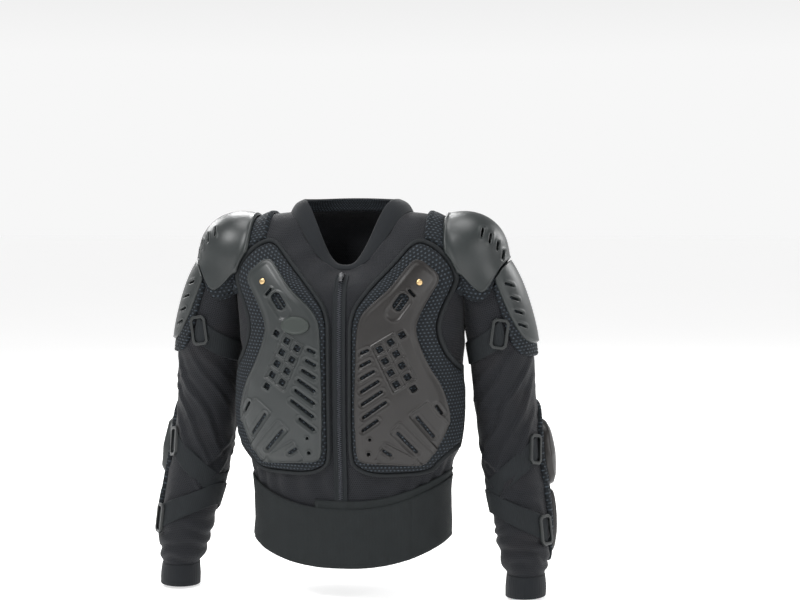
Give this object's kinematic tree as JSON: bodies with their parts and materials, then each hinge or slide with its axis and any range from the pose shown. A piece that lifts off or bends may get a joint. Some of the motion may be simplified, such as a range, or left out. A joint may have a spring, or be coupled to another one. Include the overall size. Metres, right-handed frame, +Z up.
{
  "type": "armoured motocross jacket",
  "caption": "Zipped mesh jacket with foam pads, vented chest plates, jointed spine armour, shoulder and elbow guards, straps, buckles and an elastic waist belt.",
  "frame": {"origin": "middle of the neck, level with the shoulders, where the worn jacket hangs", "axes": "+Z up, -Y out of the chest, +X to the wearer's left"},
  "size_m": [0.7114, 0.2818, 0.6828],
  "materials": {
    "mesh_fabric": "black perforated mesh knit",
    "collar_knit": "smooth black stretch knit",
    "foam": "embossed black foam with small raised ovals",
    "binding": "woven edge binding",
    "hard_plastic": "semi-matte moulded black plastic",
    "buckle_plastic": "satin moulded black plastic",
    "elastic": "plain woven elastic",
    "webbing": "ribbed webbing",
    "brass": "polished brass",
    "zip_metal": "dark enamelled metal"
  },
  "bodies": {
    "root": {"mesh_body": "mesh_fabric", "mesh_sleeve_left": "mesh_fabric", "mesh_sleeve_right": "mesh_fabric", "collar": "collar_knit", "cuff_left": "collar_knit", "cuff_right": "collar_knit", "back_pad": "foam", "chest_pad_left": "foam", "chest_pad_right": "foam", "shoulder_foam_left": "foam", "shoulder_foam_right": "foam", "bicep_foam_left": "foam", "bicep_foam_right": "foam", "elbow_foam_left": "foam", "elbow_foam_right": "foam", "back_piping": "binding", "chest_piping_left": "binding", "chest_piping_right": "binding", "neck_flange": "hard_plastic", "neck_dome": "hard_plastic", "wing_plate": "hard_plastic", "oval_badge": "hard_plastic", "spine_plate_1": "hard_plastic", "spine_plate_2": "hard_plastic", "spine_plate_3": "hard_plastic", "spine_plate_4": "hard_plastic", "chest_plate_left": "hard_plastic", "chest_plate_right": "hard_plastic", "kidney_plate_left": "hard_plastic", "kidney_plate_right": "hard_plastic", "shoulder_cup_left": "hard_plastic", "shoulder_cup_right": "hard_plastic", "bicep_plate_left": "hard_plastic", "bicep_plate_right": "hard_plastic", "elbow_cup_left": "hard_plastic", "elbow_cup_right": "hard_plastic", "forearm_plate_left": "hard_plastic", "forearm_plate_right": "hard_plastic", "bicep_buckle_left": "buckle_plastic", "bicep_buckle_right": "buckle_plastic", "forearm_buckle_upper_left": "buckle_plastic", "forearm_buckle_upper_right": "buckle_plastic", "forearm_buckle_lower_left": "buckle_plastic", "forearm_buckle_lower_right": "buckle_plastic", "kidney_belt": "elastic", "belt_overlap": "elastic", "zip": "webbing", "hanger_loop": "webbing", "bicep_strap_left": "webbing", "bicep_strap_right": "webbing", "forearm_strap_upper_left": "webbing", "forearm_strap_upper_right": "webbing", "forearm_strap_lower_left": "webbing", "forearm_strap_lower_right": "webbing", "chest_rivet_left": "brass", "chest_rivet_right": "brass", "wing_rivet_left": "brass", "wing_rivet_right": "brass", "zip_pull": "zip_metal"}
  },
  "joints": []
}
